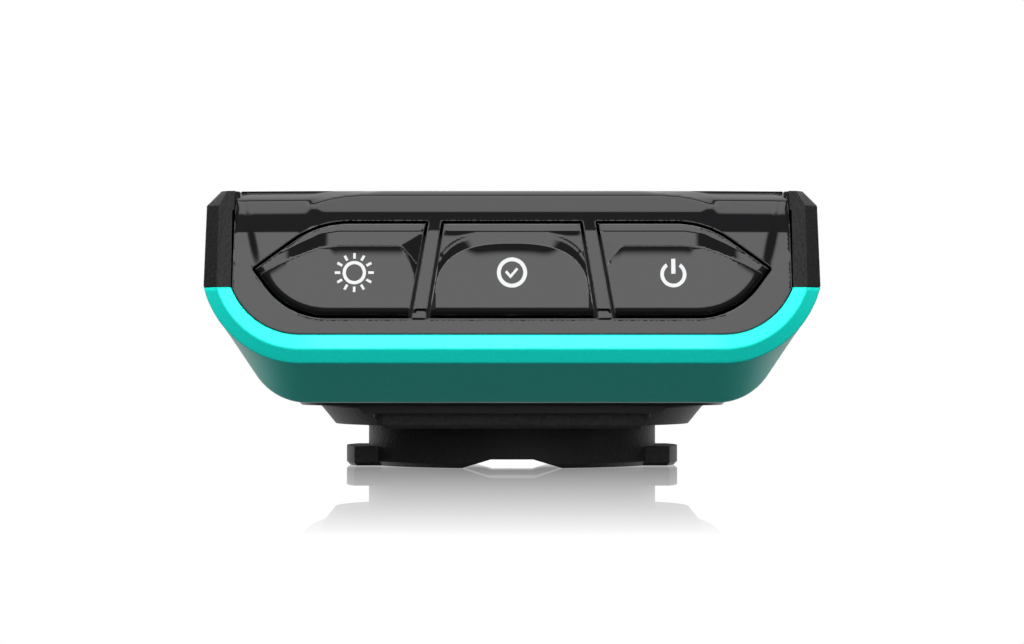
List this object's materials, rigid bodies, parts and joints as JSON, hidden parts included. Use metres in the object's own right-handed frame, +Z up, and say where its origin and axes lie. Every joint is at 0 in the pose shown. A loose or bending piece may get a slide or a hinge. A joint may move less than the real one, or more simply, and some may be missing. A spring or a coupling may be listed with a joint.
{
  "type": "cycling computer",
  "caption": "Bicycle handlebar computer with a teal lower shell, black rails, sprung front keys, glass top and a quarter-turn mount.",
  "frame": {"origin": "on the quarter-turn mount's axis, level with the underside of its boss", "axes": "+Z up through the display, -Y towards the rider's end with the three keys, +X right when facing that end"},
  "size_m": [0.0508, 0.084, 0.0237],
  "materials": {
    "teal_alloy": "satin metallic anodised teal",
    "textured_black": "fine spark-eroded grain",
    "gloss_black": "piano black",
    "white_print": "printed ink",
    "screen_glass": "black cover glass, display off",
    "base_plastic": "satin black",
    "mount_plastic": "fine grain",
    "cover_rubber": "matte",
    "seal_rubber": "matte silicone",
    "adhesive": "foam tape",
    "screw_steel": "satin",
    "circuit_board": "solder mask",
    "component_black": "moulded epoxy",
    "shield_metal": "tinned",
    "antenna_ceramic": "fired",
    "battery_foil": "pouch foil",
    "wire_red": "insulation",
    "flex_amber": "polyimide",
    "display_grey": "display, off"
  },
  "bodies": {
    "case": {"lower_housing": "teal_alloy", "top_bezel": "textured_black", "front_panel": "gloss_black", "display_glass": "screen_glass", "base_plate": "base_plastic", "mount": "mount_plastic", "cover_anchor": "cover_rubber", "housing_seal": "seal_rubber", "base_gasket": "seal_rubber", "key_membrane": "seal_rubber", "glass_adhesive": "adhesive", "battery_pad": "adhesive", "vent_membrane": "adhesive", "case_screws": "screw_steel", "mount_screws": "screw_steel", "board_screws": "screw_steel", "key_board_screws": "screw_steel", "main_board": "circuit_board", "key_board": "circuit_board", "usb_board": "circuit_board", "processor": "component_black", "flash_memory": "component_black", "buzzer": "component_black", "battery_connector": "component_black", "usb_header": "component_black", "usb_tongue": "component_black", "tact_switches": "component_black", "shield_can": "shield_metal", "usb_socket": "shield_metal", "display_frame": "shield_metal", "gps_antenna": "antenna_ceramic", "chip_antenna": "antenna_ceramic", "battery": "battery_foil", "battery_lead": "wire_red", "display_cable": "flex_amber", "key_cable": "flex_amber", "display_module": "display_grey"},
    "light_key": {"light_button": "gloss_black", "light_icon": "white_print"},
    "ok_key": {"ok_button": "gloss_black", "ok_icon": "white_print"},
    "power_key": {"power_button": "gloss_black", "power_icon": "white_print"},
    "cover": {"port_cover": "cover_rubber"}
  },
  "joints": [
    {"name": "light_press", "type": "slide", "parent": "case", "child": "light_key", "axis": [0, 0.9613, -0.2756], "range_m": [0, 0.0004], "stiffness_N_per_m": 4000, "springref_m": -0.0001},
    {"name": "ok_press", "type": "slide", "parent": "case", "child": "ok_key", "axis": [0, 0.9613, -0.2756], "range_m": [0, 0.0004], "stiffness_N_per_m": 4000, "springref_m": -0.0001},
    {"name": "power_press", "type": "slide", "parent": "case", "child": "power_key", "axis": [0, 0.9613, -0.2756], "range_m": [0, 0.0004], "stiffness_N_per_m": 4000, "springref_m": -0.0001},
    {"name": "cover_hinge", "type": "hinge", "parent": "case", "child": "cover", "pos_m": [0, -0.027, 0.00513], "axis": [-1, 0, 0], "range_deg": [0, 90], "stiffness_Nm_per_rad": 0.002, "springref_deg": -8.59}
  ]
}
